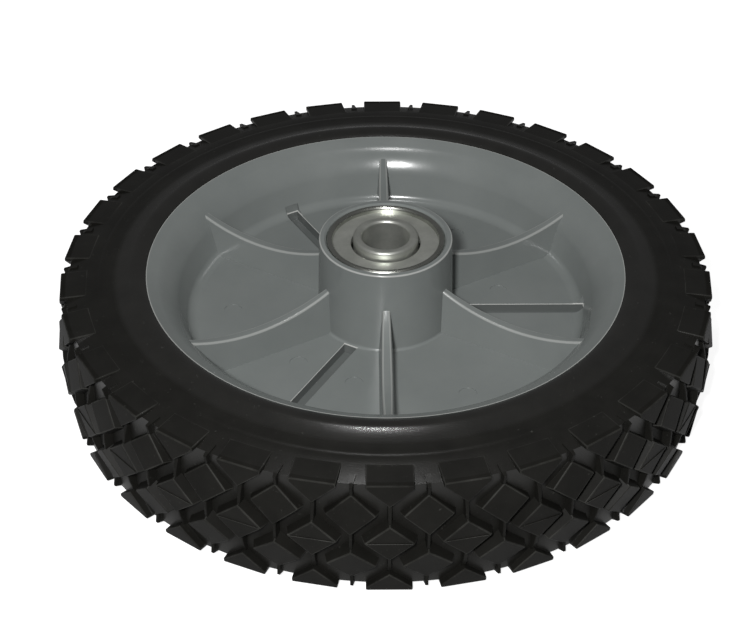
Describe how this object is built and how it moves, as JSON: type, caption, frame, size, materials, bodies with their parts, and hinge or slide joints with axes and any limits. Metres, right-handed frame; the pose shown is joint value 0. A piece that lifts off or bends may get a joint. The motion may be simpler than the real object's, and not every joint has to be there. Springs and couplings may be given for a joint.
{
  "type": "mower wheel",
  "caption": "Small mower wheel: ribbed one-piece plastic hub with an offset boss, solid rubber tyre with a diamond tread, and shielded ball bearings for an axle.",
  "frame": {"origin": "on the axle, in the middle of the tyre's width", "axes": "+Z along the axle, towards the side on which the hub stands out of the tyre; +X along the middle of one of the three floor grooves"},
  "size_m": [0.1778, 0.1772, 0.0458],
  "materials": {
    "tyre_rubber": "satin",
    "hub_plastic": "satin",
    "pressed_steel": "satin",
    "ring_steel": "satin",
    "ball_steel": "polished"
  },
  "bodies": {
    "wheel": {"tyre": "tyre_rubber", "wheel_hub": "hub_plastic", "front_bearing_cup": "pressed_steel", "front_shield": "pressed_steel", "back_bearing_cup": "pressed_steel", "back_shield": "pressed_steel"},
    "front_ring": {"front_inner_ring": "ring_steel"},
    "front_balls": {"front_ball_01": "ball_steel", "front_ball_02": "ball_steel", "front_ball_03": "ball_steel", "front_ball_04": "ball_steel", "front_ball_05": "ball_steel", "front_ball_06": "ball_steel", "front_ball_07": "ball_steel", "front_ball_08": "ball_steel", "front_ball_09": "ball_steel", "front_ball_10": "ball_steel"},
    "back_ring": {"back_inner_ring": "ring_steel"},
    "back_balls": {"back_ball_01": "ball_steel", "back_ball_02": "ball_steel", "back_ball_03": "ball_steel", "back_ball_04": "ball_steel", "back_ball_05": "ball_steel", "back_ball_06": "ball_steel", "back_ball_07": "ball_steel", "back_ball_08": "ball_steel", "back_ball_09": "ball_steel", "back_ball_10": "ball_steel"}
  },
  "joints": [
    {"name": "front_ring_spin", "type": "hinge", "parent": "wheel", "child": "front_ring", "pos_m": [0, 0, 0.02003], "axis": [0, 0, 1], "continuous": true},
    {"name": "front_balls_roll", "type": "hinge", "parent": "wheel", "child": "front_balls", "pos_m": [0, 0, 0.02003], "axis": [0, 0, 1], "continuous": true},
    {"name": "back_ring_spin", "type": "hinge", "parent": "wheel", "child": "back_ring", "pos_m": [0, 0, -0.00792], "axis": [0, 0, 1], "continuous": true},
    {"name": "back_balls_roll", "type": "hinge", "parent": "wheel", "child": "back_balls", "pos_m": [0, 0, -0.00792], "axis": [0, 0, 1], "continuous": true}
  ],
  "couplings": [
    {"joint": "front_balls_roll", "follows": "front_ring_spin", "ratio": 0.361},
    {"joint": "back_balls_roll", "follows": "back_ring_spin", "ratio": 0.361}
  ]
}
